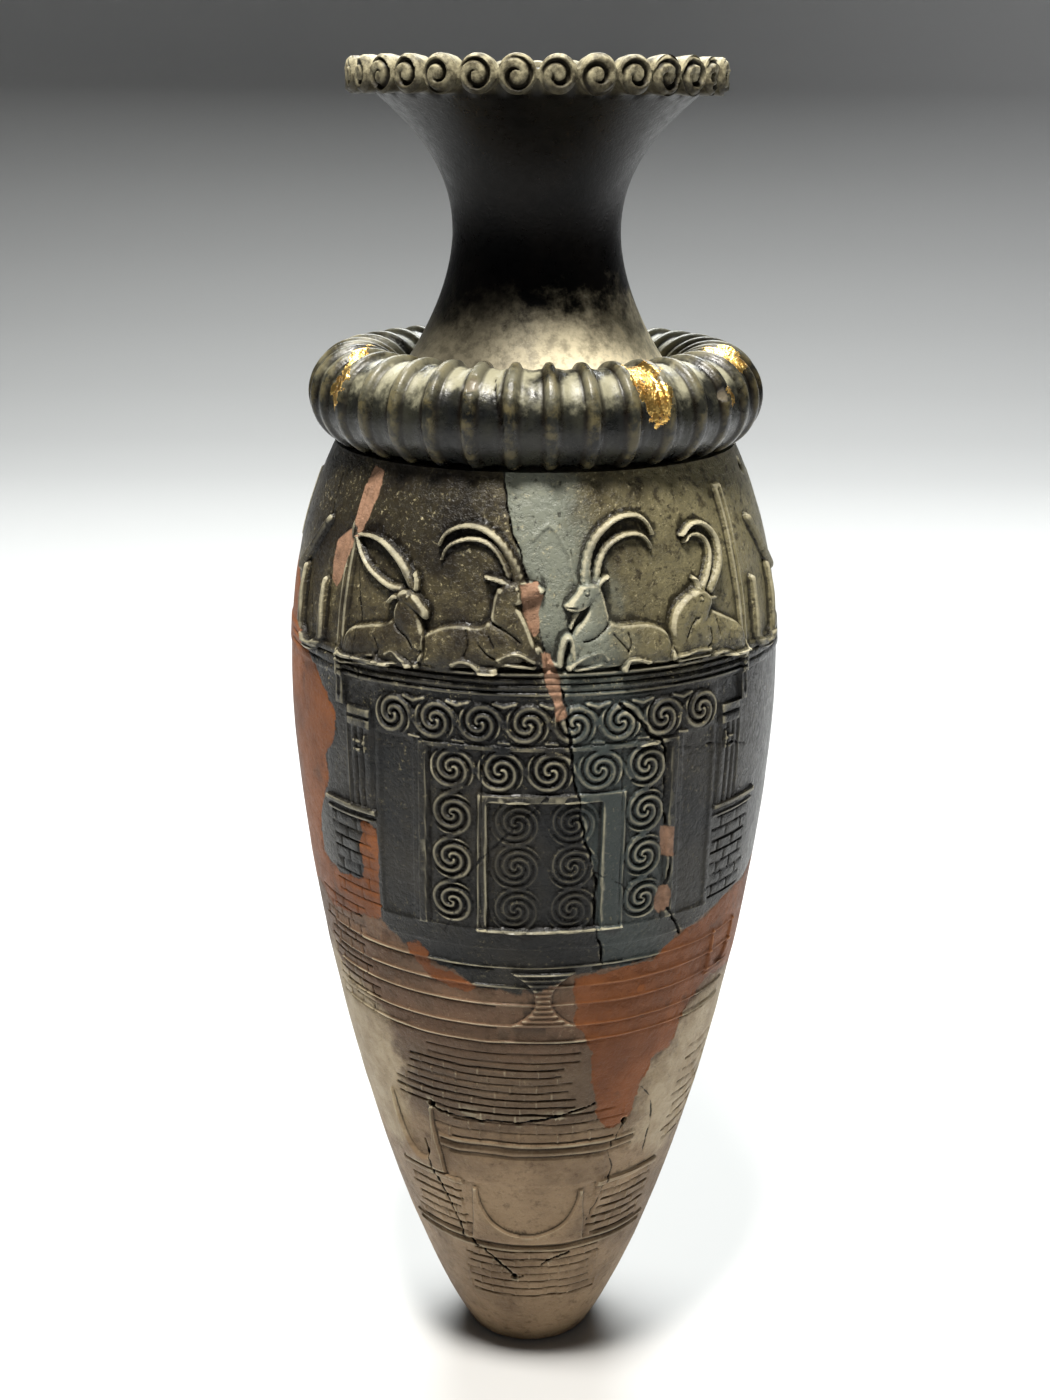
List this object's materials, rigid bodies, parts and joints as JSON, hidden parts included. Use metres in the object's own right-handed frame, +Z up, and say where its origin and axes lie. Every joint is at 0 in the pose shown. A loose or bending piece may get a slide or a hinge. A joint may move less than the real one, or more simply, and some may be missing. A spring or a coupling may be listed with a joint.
{
  "type": "stone rhyton",
  "caption": "Tall egg-shaped hollow stone vessel with a shrine relief, a ribbed collar ring and a flared neck ending in a scrolled rim.",
  "frame": {"origin": "centre of the blunt tip's flat underside, where the vessel stands", "axes": "+Z up along the vessel's axis, -Y towards the carved shrine front, +X to the shrine's right as seen"},
  "size_m": [0.1144, 0.1153, 0.3112],
  "materials": {
    "relief_stone": "satin weathered stone with plaster fills",
    "ribbed_stone": "polished dark green-grey stone",
    "neck_stone": "polished near-black stone with dust"
  },
  "bodies": {
    "root": {"body": "relief_stone", "collar_ring": "ribbed_stone", "neck_and_rim": "neck_stone"}
  },
  "joints": []
}
